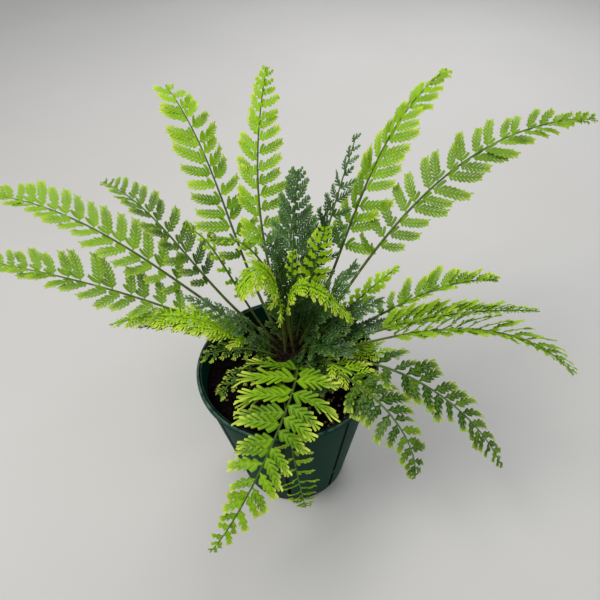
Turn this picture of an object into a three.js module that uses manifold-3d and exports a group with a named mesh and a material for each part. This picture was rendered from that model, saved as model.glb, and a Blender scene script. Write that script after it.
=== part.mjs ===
// A fern in a plastic nursery pot. Millimetres, +Z up, the pot stands on z = 0 around the Z axis.
import * as THREE from "three";
import { mergeVertices } from "three/addons/utils/BufferGeometryUtils.js";
import Module from "manifold-3d";

const wasm = await Module();
wasm.setup();

// Driving dimensions of the pot
const RIM_RADIUS = 78.5;
const POT_HEIGHT = 144;
const BASE_RADIUS = 51;
const WALL = 2;
const FLOOR = 3;
const LIP_HEIGHT = 4.5;
const LIP_DEPTH = 2.5;
const LIP_ROUND = 1.5;
const ROUND_STEPS = 36;
const GROOVES = 8;
const GROOVE_TURN = THREE.MathUtils.degToRad(-50);
const GROOVE_WIDTH = 3.6;
const GROOVE_DEPTH = 1.1;
const GROOVE_END = 3;
const SLIT_WIDTH = 3;
const SLIT_HEIGHT = 34;
const SLIT_REACH = 14;

// Driving dimensions of the soil and of the crown in it
const GAP = 0.3;
const SOIL_DEPTH_BELOW_RIM = 18;
const SOIL_BUMP = 0.8;
const SOIL_STEPS = 28;
const CROWN_PLACE = new THREE.Vector3(4, 22, 0);
const CROWN_RADIUS = 26;
const CROWN_RISE = 12;
const CROWN_SUNK = 16;
const CROWN_STEPS = 16;
const CROWN_DOME_STEPS = 4;
const ROOT_SUNK = 5;
const HOLE_SIDES = 4;

// Finishes
const COLOURS = {
  pot: 0x22463a,
  soil: 0x1d150f,
  crown: 0x2c2014,
  bright: 0x7fb52a,
  mid: 0x4f8a2a,
  dark: 0x2c5638,
};

// Every frond: tip as azimuth, reach from the crown and height; root as distance from the crown's
// middle and azimuth; rise and fall of the rib at its ends in degrees; sideways sway; stipe without
// leaflets as a share of the length; longest leaflet; leaflets on both sides together.
const FRONDS = [
  { name: "frond_left_low", tip: [178, 232, 247], root: [18, 178], rise: 40, fall: 14, sway: 3,
    bare: 0.34, leaflet: 27, count: 18, tone: "mid" },
  { name: "frond_left_high", tip: [165, 246, 272], root: [18, 160], rise: 36, fall: 2, sway: 0,
    bare: 0.36, leaflet: 28, count: 18, tone: "mid" },
  { name: "frond_left_back", tip: [150, 178, 262], root: [18, 144], rise: 34, fall: -5, sway: 8,
    bare: 0.38, leaflet: 22, count: 16, tone: "mid" },
  { name: "frond_back_left", tip: [125, 166, 325], root: [17, 124], rise: 38, fall: 22, sway: 0,
    bare: 0.34, leaflet: 27, count: 18, tone: "bright" },
  { name: "frond_back", tip: [94, 129, 340], root: [17, 98], rise: 64, fall: 46, sway: 16,
    bare: 0.36, leaflet: 24, count: 18, tone: "bright" },
  { name: "frond_back_right", tip: [43, 192, 330], root: [17, 48], rise: 44, fall: 14, sway: 6,
    bare: 0.32, leaflet: 26, count: 18, tone: "bright" },
  { name: "frond_right_long", tip: [17, 262, 308], root: [18, 20], rise: 50, fall: -6, sway: 18,
    bare: 0.32, leaflet: 27, count: 20, tone: "mid" },
  { name: "frond_right_light", tip: [8, 184, 185], root: [20, 2], rise: 32, fall: -24, sway: -5,
    bare: 0.38, leaflet: 21, count: 14, tone: "bright" },
  { name: "frond_right_middle", tip: [-9, 200, 203], root: [19, -12], rise: 38, fall: -6, sway: -5,
    bare: 0.36, leaflet: 23, count: 14, tone: "mid" },
  { name: "frond_right_arching", tip: [-24, 224, 198], root: [19, -32], rise: 36, fall: -44, sway: 5,
    bare: 0.36, leaflet: 23, count: 16, tone: "mid" },
  { name: "frond_front_right_low", tip: [-34, 199, 108], root: [19, -50], rise: 38, fall: -54, sway: 10,
    bare: 0.34, leaflet: 22, count: 16, tone: "mid" },
  { name: "frond_front_right", tip: [-55, 157, 128], root: [19, -68], rise: 44, fall: -80, sway: 9,
    bare: 0.38, leaflet: 20, count: 14, tone: "mid" },
  { name: "frond_front_large", tip: [-112, 176, 100], root: [17, -86], rise: 68, fall: -68, sway: 24,
    bare: 0.2, leaflet: 40, count: 20, tone: "bright" },
  { name: "frond_front_hanging", tip: [-87, 116, 66], root: [20, -104], rise: 58, fall: -96, sway: -8,
    handles: [0.55, 0.9], bare: 0.52, leaflet: 14, count: 10, tone: "bright" },
  { name: "frond_left_bright", tip: [188, 146, 199], root: [18, 198], rise: 48, fall: -4, sway: -8,
    bare: 0.28, leaflet: 26, count: 16, tone: "bright" },
  { name: "frond_young_left", tip: [149, 93, 238], root: [11, 162], rise: 60, fall: -30, sway: 11,
    bare: 0.5, leaflet: 9, count: 8, tone: "bright" },
  { name: "frond_young_back", tip: [143, 76, 228], root: [7, 130], rise: 76, fall: -26, sway: -12,
    bare: 0.5, leaflet: 9, count: 8, tone: "bright" },
  { name: "frond_centre_left", tip: [190, 48, 212], root: [6, 205], rise: 88, fall: -36, sway: -8,
    bare: 0.45, leaflet: 24, count: 12, tone: "bright" },
  { name: "frond_centre_right", tip: [-12, 54, 184], root: [4, -60], rise: 84, fall: -44, sway: 4,
    bare: 0.45, leaflet: 20, count: 12, tone: "bright" },
  { name: "frond_light_upright", tip: [49, 50, 243], root: [10, 62], rise: 76, fall: 72, sway: 1,
    bare: 0.42, leaflet: 13, count: 12, tone: "bright" },
  { name: "frond_light_right", tip: [18, 108, 190], root: [14, 10], rise: 42, fall: 20, sway: -3,
    bare: 0.42, leaflet: 15, count: 10, tone: "bright" },
  { name: "frond_small_right", tip: [-15, 94, 150], root: [15, -24], rise: 32, fall: 0, sway: 0,
    bare: 0.36, leaflet: 18, count: 8, tone: "bright" },
  { name: "frond_small_front_right", tip: [-44, 101, 155], root: [14, -53], rise: 44, fall: -16, sway: 0,
    bare: 0.36, leaflet: 18, count: 8, tone: "bright" },
  { name: "frond_small_left", tip: [199, 80, 160], root: [14, 222], rise: 50, fall: -20, sway: 0,
    bare: 0.34, leaflet: 17, count: 8, tone: "mid" },
  { name: "frond_small_front_left", tip: [225, 84, 152], root: [18, 240], rise: 44, fall: -30, sway: 0,
    bare: 0.36, leaflet: 17, count: 8, tone: "mid" },
  { name: "frond_small_back", tip: [75, 22, 232], root: [6, 80], rise: 86, fall: 70, sway: 0,
    bare: 0.5, leaflet: 10, count: 8, tone: "bright" },
  { name: "frond_dark_back", tip: [78, 62, 284], root: [13, 80], rise: 76, fall: 65, sway: 2,
    bare: 0.36, leaflet: 19, count: 14, tone: "dark" },
  { name: "frond_dark_back_right", tip: [61, 82, 247], root: [19, 74], rise: 73, fall: 54, sway: 3,
    bare: 0.36, leaflet: 17, count: 12, tone: "dark" },
  { name: "frond_dark_far_right", tip: [54, 106, 300], root: [22, 60], rise: 72, fall: 56, sway: 0,
    bare: 0.4, leaflet: 15, count: 12, tone: "dark" },
  { name: "frond_dark_left_low", tip: [184, 146, 176], root: [22, 188], rise: 38, fall: -8, sway: 0,
    bare: 0.34, leaflet: 20, count: 12, tone: "dark" },
  { name: "frond_dark_left", tip: [172, 88, 196], root: [13, 184], rise: 52, fall: 14, sway: 4,
    bare: 0.36, leaflet: 19, count: 10, tone: "dark" },
  { name: "frond_dark_back_left", tip: [110, 42, 238], root: [10, 96], rise: 78, fall: 52, sway: 0,
    bare: 0.36, leaflet: 18, count: 10, tone: "dark" },
  { name: "frond_dark_upright", tip: [14, 60, 222], root: [8, 26], rise: 70, fall: 50, sway: 0,
    bare: 0.36, leaflet: 18, count: 10, tone: "dark" },
  { name: "frond_dark_right", tip: [0, 78, 192], root: [9, -8], rise: 56, fall: 18, sway: 0,
    bare: 0.34, leaflet: 19, count: 10, tone: "dark" },
  { name: "frond_dark_right_low", tip: [-7, 88, 174], root: [23, -4], rise: 56, fall: 0, sway: 0,
    bare: 0.34, leaflet: 18, count: 10, tone: "dark" },
  { name: "frond_dark_front_right", tip: [-38, 62, 172], root: [10, -44], rise: 60, fall: 0, sway: 0,
    bare: 0.36, leaflet: 17, count: 8, tone: "dark" },
  { name: "frond_dark_front", tip: [-66, 66, 152], root: [11, -72], rise: 46, fall: -20, sway: 0,
    bare: 0.38, leaflet: 15, count: 8, tone: "dark" },
];

// Half widths and half thicknesses of a rib and of a leaflet
const STIPE_HALF_WIDTH = 1.25;
const RIB_TIP_HALF_WIDTH = 0.5;
const RIB_ROUNDNESS = 0.9;
const LEAFLET_HALF_THICKNESS = 0.6;
const LEAFLET_CLEARANCE = 0.45;
const STALK_HALF_WIDTH = 1.2;
const STIPE_STATIONS = 3;
const RIB_HANDLES = [0.4, 0.36];

// One leaflet's cut outline: share of its length, share of its half width
const LEAFLET_OUTLINE = [
  [0.3, -1],
  [0.38, -0.42],
  [0.62, -0.84],
  [0.7, -0.32],
  [1, 0.05],
  [0.74, 0.4],
  [0.66, 0.9],
  [0.42, 0.46],
  [0.34, 1],
];
const LEAFLET_MIDDLE = [0.38, 0];

function random(seed) {
  let state = seed;
  return () => {
    state = (state * 16807) % 2147483647;
    return state / 2147483647;
  };
}

function asSolid(geometry) {
  const bare = geometry.clone();
  bare.deleteAttribute("normal");
  bare.deleteAttribute("uv");
  const merged = mergeVertices(bare, 0.0001);
  const vertProperties = new Float32Array(merged.attributes.position.array);
  const triVerts = new Uint32Array(merged.index.array);
  return new wasm.Manifold(new wasm.Mesh({ numProp: 3, vertProperties, triVerts }));
}

function asGeometry(solid) {
  const mesh = solid.getMesh();
  const geometry = new THREE.BufferGeometry();
  geometry.setAttribute("position", new THREE.BufferAttribute(new Float32Array(mesh.vertProperties), 3));
  geometry.setIndex(new THREE.BufferAttribute(new Uint32Array(mesh.triVerts), 1));
  return geometry;
}

function turned(profile, steps) {
  const points = profile.map(([radius, height]) => new THREE.Vector2(radius, height));
  return new THREE.LatheGeometry(points, steps).rotateX(Math.PI / 2);
}

function around(azimuth, distance, height) {
  return new THREE.Vector3(distance * Math.cos(azimuth), distance * Math.sin(azimuth), height);
}

function uprightBlock(depth, width, height, lean) {
  return new THREE.BoxGeometry(depth, width, height).rotateY(lean);
}

function moveOut(block, azimuth, radius, height) {
  const place = around(azimuth, radius, height);
  block.rotateZ(azimuth).translate(place.x, place.y, place.z);
}

const bodyTopRadius = RIM_RADIUS - LIP_DEPTH;
const lipBottom = POT_HEIGHT - LIP_HEIGHT;

function outerRadiusAt(height) {
  return BASE_RADIUS + (bodyTopRadius - BASE_RADIUS) * (height / lipBottom);
}

// The pot: a turned wall and floor with a rounded lip, grooves down its outside and drain slits
function makePot() {
  const profile = [
    [0, 0],
    [BASE_RADIUS, 0],
    [bodyTopRadius, lipBottom],
    [RIM_RADIUS, lipBottom],
    [RIM_RADIUS, POT_HEIGHT - LIP_ROUND],
    [RIM_RADIUS - LIP_ROUND, POT_HEIGHT],
    [bodyTopRadius - WALL + LIP_ROUND, POT_HEIGHT],
    [bodyTopRadius - WALL, POT_HEIGHT - LIP_ROUND],
    [bodyTopRadius - WALL, lipBottom],
    [outerRadiusAt(FLOOR) - WALL, FLOOR],
    [0, FLOOR],
  ];
  let pot = asSolid(turned(profile, ROUND_STEPS));
  const grooveBottom = SLIT_HEIGHT + GROOVE_END;
  const grooveTop = lipBottom - GROOVE_END;
  const grooveMiddle = (grooveBottom + grooveTop) / 2;
  const taper = Math.atan2(bodyTopRadius - BASE_RADIUS, lipBottom);
  for (let i = 0; i < GROOVES; i += 1) {
    const azimuth = GROOVE_TURN + (i * 2 * Math.PI) / GROOVES;
    const slit = uprightBlock(SLIT_REACH, SLIT_WIDTH, SLIT_HEIGHT - FLOOR - 1, 0);
    moveOut(slit, azimuth, BASE_RADIUS, (SLIT_HEIGHT + FLOOR + 1) / 2);
    const groove = uprightBlock(GROOVE_DEPTH * 2, GROOVE_WIDTH, grooveTop - grooveBottom, taper);
    moveOut(groove, azimuth, outerRadiusAt(grooveMiddle), grooveMiddle);
    pot = pot.subtract(asSolid(slit)).subtract(asSolid(groove));
  }
  return pot;
}

const soilHeight = POT_HEIGHT - SOIL_DEPTH_BELOW_RIM;

// The crown: a low rounded rootstock, half sunk in the soil
function crownProfile(grown) {
  const radius = CROWN_RADIUS + grown;
  const bottom = soilHeight - CROWN_SUNK - grown;
  const profile = [[0, bottom], [radius * 0.7, bottom], [radius, soilHeight - CROWN_SUNK * 0.2]];
  for (let i = 1; i < CROWN_DOME_STEPS; i += 1) {
    const angle = (i * Math.PI) / 2 / CROWN_DOME_STEPS;
    profile.push([radius * Math.cos(angle), soilHeight + (CROWN_RISE + grown) * Math.sin(angle)]);
  }
  profile.push([0, soilHeight + CROWN_RISE + grown]);
  return profile;
}

function makeCrown(grown) {
  const body = turned(crownProfile(grown), CROWN_STEPS);
  return asSolid(body.translate(CROWN_PLACE.x, CROWN_PLACE.y, 0));
}

// The soil: fills the pot, with an uneven top
function makeSoil() {
  const inner = outerRadiusAt(soilHeight) - WALL - GAP;
  const profile = [
    [0, FLOOR + GAP],
    [outerRadiusAt(FLOOR) - WALL - 2 * GAP, FLOOR + GAP],
    [inner, soilHeight],
    [inner * 0.82, soilHeight],
    [inner * 0.64, soilHeight],
    [0, soilHeight],
  ];
  const geometry = turned(profile, SOIL_STEPS);
  const points = geometry.attributes.position;
  for (let i = 0; i < points.count; i += 1) {
    const x = points.getX(i);
    const y = points.getY(i);
    const offTheWall = Math.hypot(x, y) < inner * 0.95;
    if (offTheWall && points.getZ(i) > soilHeight - 1) {
      const bump = Math.sin(x * 0.31 + 1) * Math.cos(y * 0.27) + Math.sin((x + y) * 0.9);
      points.setZ(i, soilHeight + SOIL_BUMP * bump);
    }
  }
  return asSolid(geometry).subtract(makeCrown(GAP));
}

function crownHeightAt(ring) {
  return soilHeight + CROWN_RISE * Math.sqrt(1 - (ring / CROWN_RADIUS) ** 2);
}

// The rib of a frond: one curve from the crown to the tip
function ribOf(frond) {
  const radians = THREE.MathUtils.degToRad;
  const [ring, azimuth] = frond.root;
  const root = around(radians(azimuth), ring, crownHeightAt(ring)).add(CROWN_PLACE);
  const tip = around(radians(frond.tip[0]), frond.tip[1], frond.tip[2]).add(CROWN_PLACE);
  const span = tip.clone().sub(root);
  const outward = new THREE.Vector3(span.x, span.y, 0).normalize();
  const side = new THREE.Vector3(-outward.y, outward.x, 0);
  const chord = span.length();
  const slope = (degrees) => {
    const angle = radians(degrees);
    return outward.clone().multiplyScalar(Math.cos(angle)).setZ(Math.sin(angle));
  };
  const aside = side.clone().multiplyScalar((frond.sway * 4) / 3);
  const [first, last] = frond.handles ?? RIB_HANDLES;
  const low = root.clone().addScaledVector(slope(frond.rise), chord * first).add(aside);
  const high = tip.clone().addScaledVector(slope(frond.fall), -chord * last).add(aside);
  return { curve: new THREE.CubicBezierCurve3(root, low, high, tip), side };
}

function frameAt(rib, share) {
  const point = rib.curve.getPointAt(share);
  const along = rib.curve.getTangentAt(share);
  const up = along.clone().cross(rib.side).normalize();
  const left = up.clone().cross(along).normalize();
  return { point, along, up, left };
}

function halfWidthAt(frond, share) {
  const start = frond.leaflet > 20 ? STIPE_HALF_WIDTH : STIPE_HALF_WIDTH * 0.8;
  return start + (RIB_TIP_HALF_WIDTH - start) * share;
}

// Every leaflet's place on its rib: alternating sides, longest near the middle of the blade
function leafletPlan(frond, length, seed) {
  const draw = random(seed * 7919 + 13);
  const plan = [];
  const blade = 1 - frond.bare;
  for (let i = 0; i < frond.count; i += 1) {
    const along = (i + 0.4) / frond.count;
    const size = Math.min(0.8 + along * 1.2, 1) * Math.pow(1 - along, 0.55) * 1.12 + 0.16;
    const spacing = (2 * blade * length) / frond.count;
    plan.push({
      share: frond.bare + blade * along * 0.97,
      side: i % 2 === 0 ? 1 : -1,
      length: frond.leaflet * Math.min(size, 1) * (0.94 + 0.12 * draw()),
      halfWidth: Math.min(spacing * 0.43, frond.leaflet * 0.26) * (0.72 + 0.28 * (1 - along)),
      lean: THREE.MathUtils.degToRad(76 - 32 * along + 6 * draw()),
      fold: THREE.MathUtils.degToRad(-4 - 10 * draw()),
      twist: THREE.MathUtils.degToRad(-8 + 16 * draw()),
    });
  }
  return plan;
}

function leafletPoints(frame, halfWidth, leaflet, fold, scale, grown) {
  const direction = frame.along.clone().multiplyScalar(Math.cos(leaflet.lean));
  direction.addScaledVector(frame.left, leaflet.side * Math.sin(leaflet.lean));
  direction.addScaledVector(frame.up, Math.tan(fold)).normalize();
  const across = frame.along.clone().addScaledVector(direction, -frame.along.dot(direction));
  across.normalize();
  const up = frame.up.clone().addScaledVector(direction, -frame.up.dot(direction)).normalize();
  across.multiplyScalar(Math.cos(leaflet.twist)).addScaledVector(up, Math.sin(leaflet.twist));
  const start = frame.point.clone().addScaledVector(frame.left, leaflet.side * halfWidth);
  const length = leaflet.length * scale + grown;
  const width = leaflet.halfWidth + grown;
  const at = ([far, wide]) => {
    const point = start.clone().addScaledVector(direction, far * length);
    point.addScaledVector(across, wide * width);
    return point.addScaledVector(up, -0.09 * length * far * far);
  };
  return { outline: LEAFLET_OUTLINE.map(at), middle: at(LEAFLET_MIDDLE), up };
}

function boxesMeet(one, other) {
  return [0, 1, 2].every((k) => one.min[k] <= other.max[k] && other.min[k] <= one.max[k]);
}

function isClear(solid, owner, placed) {
  const box = solid.boundingBox();
  for (const thing of placed) {
    if (thing.owner !== owner && boxesMeet(box, thing.box)) {
      if (!solid.intersect(thing.solid).isEmpty()) return false;
    }
  }
  return true;
}

// A frond's closed surface: two sheets that share the cut outline, thick along the rib and leaflets
class FrondSurface {
  constructor() {
    this.positions = [];
    this.index = [];
  }

  put(point) {
    this.positions.push(point.x, point.y, point.z);
    return this.positions.length / 3 - 1;
  }

  edge(point) {
    const at = this.put(point);
    return { top: at, bottom: at };
  }

  ridge(point, up, thick) {
    const top = this.put(point.clone().addScaledVector(up, thick));
    const bottom = this.put(point.clone().addScaledVector(up, -thick));
    return { top, bottom };
  }

  sheet(a, b, c, side) {
    const [second, third] = side > 0 ? [b, c] : [c, b];
    this.index.push(a.top, second.top, third.top);
    this.index.push(a.bottom, third.bottom, second.bottom);
  }

  geometry() {
    const geometry = new THREE.BufferGeometry();
    geometry.setAttribute("position", new THREE.Float32BufferAttribute(this.positions, 3));
    geometry.setIndex(this.index);
    return geometry;
  }
}

function ribEdge(surface, frame, halfWidth, side, shift) {
  const point = frame.point.clone().addScaledVector(frame.left, side * halfWidth);
  return surface.edge(point.addScaledVector(frame.along, shift));
}

// A leaflet's two sheets, from the rib's middle line out; returns its two edges on the rib
function growLeaflet(surface, centre, frame, halfWidth, leaflet, points, grown) {
  const { side } = leaflet;
  const stalk = Math.min(STALK_HALF_WIDTH, leaflet.halfWidth * 0.4) + grown;
  const near = ribEdge(surface, frame, halfWidth, side, -stalk);
  const far = ribEdge(surface, frame, halfWidth, side, stalk);
  const middle = surface.ridge(points.middle, points.up, LEAFLET_HALF_THICKNESS + grown);
  const outline = points.outline.map((point) => surface.edge(point));
  surface.sheet(centre, outline[0], near, side);
  surface.sheet(centre, middle, outline[0], side);
  for (let k = 1; k < outline.length; k += 1) {
    surface.sheet(middle, outline[k], outline[k - 1], side);
  }
  surface.sheet(centre, outline.at(-1), middle, side);
  surface.sheet(centre, far, outline.at(-1), side);
  return { near, far };
}

// A leaflet alone, closed at its stalk, for finding what it would cross
function leafletSolid(frame, halfWidth, leaflet, points, grown) {
  const surface = new FrondSurface();
  const centre = surface.ridge(frame.point, frame.up, halfWidth * RIB_ROUNDNESS);
  const { near, far } = growLeaflet(surface, centre, frame, halfWidth, leaflet, points, grown);
  const [first, last] = leaflet.side > 0 ? [near, far] : [far, near];
  surface.index.push(centre.top, first.top, centre.bottom);
  surface.index.push(centre.top, centre.bottom, last.top);
  return asSolid(surface.geometry());
}

function rootFrame(rib) {
  const frame = frameAt(rib, 0);
  frame.point.addScaledVector(frame.along, -ROOT_SUNK);
  return frame;
}

// The rib's stations: the sunk root, the bare stipe, then one at each leaflet
function stationsOf(frond, rib, leaflets) {
  const stations = [{ frame: rootFrame(rib), halfWidth: halfWidthAt(frond, 0) }];
  for (let i = 0; i < STIPE_STATIONS; i += 1) {
    const share = (frond.bare * i) / (STIPE_STATIONS - 0.4);
    stations.push({ frame: frameAt(rib, share), halfWidth: halfWidthAt(frond, share) });
  }
  for (const leaflet of leaflets) {
    const frame = frameAt(rib, leaflet.share);
    stations.push({ frame, halfWidth: halfWidthAt(frond, leaflet.share), leaflet });
  }
  return stations;
}

function sideOf(surface, stations, centres, tip, side) {
  const first = ribEdge(surface, stations[0].frame, stations[0].halfWidth, side, 0);
  let edge = first;
  for (let i = 1; i < stations.length; i += 1) {
    const { leaflet, halfWidth, frame } = stations[i];
    const centre = centres[i];
    surface.sheet(centres[i - 1], centre, edge, side);
    if (!leaflet?.points) {
      const next = ribEdge(surface, frame, halfWidth, side, 0);
      surface.sheet(centre, next, edge, side);
      edge = next;
    } else if (leaflet.side === side) {
      const { near, far } = growLeaflet(surface, centre, frame, halfWidth, leaflet, leaflet.points, 0);
      surface.sheet(centre, near, edge, side);
      edge = far;
    }
  }
  surface.sheet(centres.at(-1), tip, edge, side);
  return first;
}

function makeFrond(frond, rib, leaflets) {
  const surface = new FrondSurface();
  const stations = stationsOf(frond, rib, leaflets);
  const centres = stations.map(({ frame, halfWidth }) =>
    surface.ridge(frame.point, frame.up, halfWidth * RIB_ROUNDNESS));
  const tip = surface.edge(rib.curve.getPoint(1));
  const left = sideOf(surface, stations, centres, tip, 1);
  const right = sideOf(surface, stations, centres, tip, -1);
  surface.index.push(left.top, centres[0].bottom, right.top);
  surface.index.push(left.top, right.top, centres[0].top);
  return surface.geometry();
}

function place(owner, solid, placed) {
  placed.push({ owner, solid, box: solid.boundingBox() });
}

// A leaflet that would cross a neighbour is folded up or down, then shortened, then left out
function settleLeaflet(frond, rib, leaflet, placed) {
  const frame = frameAt(rib, leaflet.share);
  const halfWidth = halfWidthAt(frond, leaflet.share);
  for (const scale of [1, 0.75, 0.5]) {
    for (const bend of [0, 14, -14, 28, -28, 44, -44, 60, -60]) {
      const fold = leaflet.fold + THREE.MathUtils.degToRad(bend);
      const grown = leafletPoints(frame, halfWidth, leaflet, fold, scale, LEAFLET_CLEARANCE);
      const room = leafletSolid(frame, halfWidth, leaflet, grown, LEAFLET_CLEARANCE);
      if (isClear(room, frond.name, placed)) {
        const points = leafletPoints(frame, halfWidth, leaflet, fold, scale, 0);
        place(frond.name, leafletSolid(frame, halfWidth, leaflet, points, 0), placed);
        return points;
      }
    }
  }
  return null;
}

function addMesh(group, name, geometry, colour, roughness) {
  const flat = geometry.index ? geometry.toNonIndexed() : geometry;
  flat.computeVertexNormals();
  const material = new THREE.MeshStandardMaterial({ color: colour, roughness, metalness: 0 });
  const mesh = new THREE.Mesh(flat, material);
  mesh.name = name;
  group.add(mesh);
}

const group = new THREE.Group();
const placed = [];
const pot = makePot();
let crown = makeCrown(0);
const soil = makeSoil();
place("pot", pot, placed);
place("soil", soil, placed);

const ribs = FRONDS.map(ribOf);
const plans = FRONDS.map((frond, i) => leafletPlan(frond, ribs[i].curve.getLength(), i + 1));
const bareRibs = FRONDS.map((frond, i) => makeFrond(frond, ribs[i], plans[i]));
bareRibs.forEach((geometry, i) => place(FRONDS[i].name, asSolid(geometry), placed));
crown = FRONDS.reduce((solid, frond, i) => {
  const frame = rootFrame(ribs[i]);
  const reach = ROOT_SUNK + CROWN_RISE;
  const radius = halfWidthAt(frond, 0) + GAP / Math.cos(Math.PI / HOLE_SIDES);
  const hole = new THREE.CylinderGeometry(radius, radius, reach, HOLE_SIDES);
  hole.translate(0, reach / 2 - GAP, 0);
  const turn = new THREE.Matrix4().makeBasis(frame.up, frame.along, frame.left);
  hole.applyMatrix4(turn.setPosition(frame.point));
  return solid.subtract(asSolid(hole));
}, crown);

addMesh(group, "pot", asGeometry(pot), COLOURS.pot, 0.45);
addMesh(group, "soil", asGeometry(soil), COLOURS.soil, 0.95);
addMesh(group, "crown", asGeometry(crown), COLOURS.crown, 0.9);
place("crown", crown, placed);

FRONDS.forEach((frond, i) => {
  for (const leaflet of plans[i]) leaflet.points = settleLeaflet(frond, ribs[i], leaflet, placed);
  const grown = plans[i].filter((leaflet) => leaflet.points);
  addMesh(group, frond.name, makeFrond(frond, ribs[i], grown), COLOURS[frond.tone], 0.55);
});

export default group;
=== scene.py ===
from math import atan2, cos, pi, radians, sin, sqrt, tan, tau
import random

import bmesh
import bpy
import numpy as np
from mathutils import Matrix, Vector, noise


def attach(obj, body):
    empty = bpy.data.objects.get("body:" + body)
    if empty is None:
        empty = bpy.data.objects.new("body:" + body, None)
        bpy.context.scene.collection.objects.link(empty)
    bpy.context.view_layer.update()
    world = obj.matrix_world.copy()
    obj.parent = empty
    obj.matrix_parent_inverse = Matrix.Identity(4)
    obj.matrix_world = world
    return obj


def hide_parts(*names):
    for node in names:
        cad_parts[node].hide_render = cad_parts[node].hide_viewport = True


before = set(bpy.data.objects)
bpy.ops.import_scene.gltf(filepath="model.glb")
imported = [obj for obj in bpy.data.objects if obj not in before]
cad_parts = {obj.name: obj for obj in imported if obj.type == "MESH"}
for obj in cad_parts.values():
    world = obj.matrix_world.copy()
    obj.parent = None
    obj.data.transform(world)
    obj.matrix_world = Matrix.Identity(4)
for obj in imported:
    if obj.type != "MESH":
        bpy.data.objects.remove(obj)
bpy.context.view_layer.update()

# The studio: a camera in front of the pot and above it, looking down into the fern, a wide pale
# floor, and large soft lights from the left above, from behind and from the right.
CAMERA_PLACE = (0.0135, -0.3475, 0.5567)
CAMERA_LOOKS_DOWN = radians(44.2)
CAMERA_ROLL = radians(-2.7)
LENS = 37.293
SENSOR = 36
FLOOR_WIDTH = 8
FLOOR_DROP = 0.0002
LIGHT_TARGET = Vector((0, 0.02, 0.17))
WORLD_TINT = (0.9, 0.94, 1, 1)
WORLD_STRENGTH = 0.38


def deselect_all():
    bpy.ops.object.select_all(action="DESELECT")


def fresh(add, **values):
    """What an adding operator makes, alone in the selection."""
    deselect_all()
    add(**values)
    return bpy.context.object


camera = fresh(bpy.ops.object.camera_add, location=CAMERA_PLACE)
tilt = Matrix.Rotation(pi / 2 - CAMERA_LOOKS_DOWN, 4, "X")
roll = Matrix.Rotation(CAMERA_ROLL, 4, "Z")
camera.matrix_world = Matrix.Translation(CAMERA_PLACE) @ tilt @ roll
camera.data.sensor_width = SENSOR
camera.data.lens = LENS
bpy.context.scene.camera = camera
bpy.context.scene.view_settings.view_transform = "Standard"


def soft_light(name, place, width, power, tint=(1, 1, 1)):
    light = fresh(bpy.ops.object.light_add, type="AREA", location=place)
    light.name = name
    light.data.size = width
    light.data.energy = power
    light.data.color = tint
    light.rotation_euler = (LIGHT_TARGET - Vector(place)).to_track_quat("-Z", "Y").to_euler()


soft_light("key_light", (-0.7, -0.25, 1.35), 0.7, 13, (1, 0.98, 0.94))
soft_light("back_light", (0.35, 1.1, 1.0), 0.9, 8)
soft_light("right_light", (1.2, -0.5, 0.8), 0.8, 3.5, (0.94, 0.97, 1))

world = bpy.data.worlds.new("studio")
bpy.context.scene.world = world
world.use_nodes = True
sky = world.node_tree.nodes["Background"].inputs
sky["Color"].default_value = WORLD_TINT
sky["Strength"].default_value = WORLD_STRENGTH


def shade(red, green, blue):
    """A colour as a paint chart gives it, from 0 to 255, for a shader."""
    values = [value / 255 for value in (red, green, blue)]
    linear = [v / 12.92 if v <= 0.04045 else ((v + 0.055) / 1.055) ** 2.4 for v in values]
    return (*linear, 1)


BLACK, WHITE = shade(0, 0, 0), shade(255, 255, 255)


def add_node(tree, kind, feeds=None, **values):
    """A shader node and its settings. Each feed is a number, a colour or an output to link."""
    node = tree.nodes.new("ShaderNode" + kind)
    for key, value in values.items():
        setattr(node, key, value)
    for key, value in (feeds or {}).items():
        if isinstance(value, bpy.types.NodeSocket):
            tree.links.new(value, node.inputs[key])
        else:
            node.inputs[key].default_value = value
    return node


def add_math(tree, operation, *terms, **values):
    node = add_node(tree, "Math", dict(enumerate(terms)), operation=operation, **values)
    return node.outputs[0]


def add_mix(tree, share, first, second, **values):
    feeds = {"Factor": share, 6: first, 7: second}
    return add_node(tree, "Mix", feeds, data_type="RGBA", **values).outputs[2]


def new_material(name, roughness, specular=0.5):
    material = bpy.data.materials.new(name)
    material.use_nodes = True
    shader = material.node_tree.nodes["Principled BSDF"]
    shader.inputs["Roughness"].default_value = roughness
    shader.inputs["Specular IOR Level"].default_value = specular
    return material, material.node_tree


def set_surface(tree, colour, height=None, strength=0, distance=0):
    """Gives the material its colour and, where there is a height, its bump."""
    shader = tree.nodes["Principled BSDF"]
    tree.links.new(colour, shader.inputs["Base Color"])
    if height is not None:
        feeds = {"Strength": strength, "Distance": distance, "Height": height}
        bump = add_node(tree, "Bump", feeds)
        tree.links.new(bump.outputs["Normal"], shader.inputs["Normal"])


def new_group(name, colours, numbers, extra):
    """An empty node group: its tree, what it is given, and its outputs Color and one extra."""
    tree = bpy.data.node_groups.new(name, "ShaderNodeTree")
    sockets = [(colour, "INPUT", "Color") for colour in colours]
    sockets += [(number, "INPUT", "Float") for number in numbers]
    for socket, way, kind in sockets + [("Color", "OUTPUT", "Color"), (extra, "OUTPUT", "Float")]:
        tree.interface.new_socket(socket, in_out=way, socket_type="NodeSocket" + kind)
    given = tree.nodes.new("NodeGroupInput").outputs
    return tree, given, tree.nodes.new("NodeGroupOutput").inputs


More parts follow.
